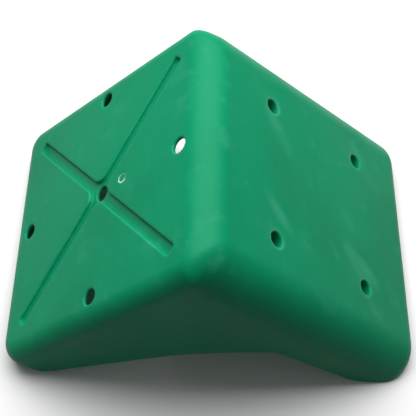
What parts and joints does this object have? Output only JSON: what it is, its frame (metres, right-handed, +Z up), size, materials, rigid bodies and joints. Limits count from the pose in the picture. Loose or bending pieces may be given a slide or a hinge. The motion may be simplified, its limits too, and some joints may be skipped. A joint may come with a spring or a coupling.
{
  "type": "corner mounting shell",
  "caption": "Tent-shaped green plastic mounting shell with two square wings, a crossed channel, bolt holes and an open arched underside.",
  "frame": {"origin": "centre of the box's base, on the plane that the two feet rest on", "axes": "+Z up, Y along the ridge, +X towards the wing with four bosses"},
  "size_m": [0.3692, 0.2638, 0.1942],
  "materials": {
    "shell_plastic": "satin green polyethylene with a faint mould texture",
    "plug_plastic": "paler green polyethylene, stress-whitened at the edge"
  },
  "bodies": {
    "root": {"moulded_shell": "shell_plastic", "vent_plug": "plug_plastic"}
  },
  "joints": []
}
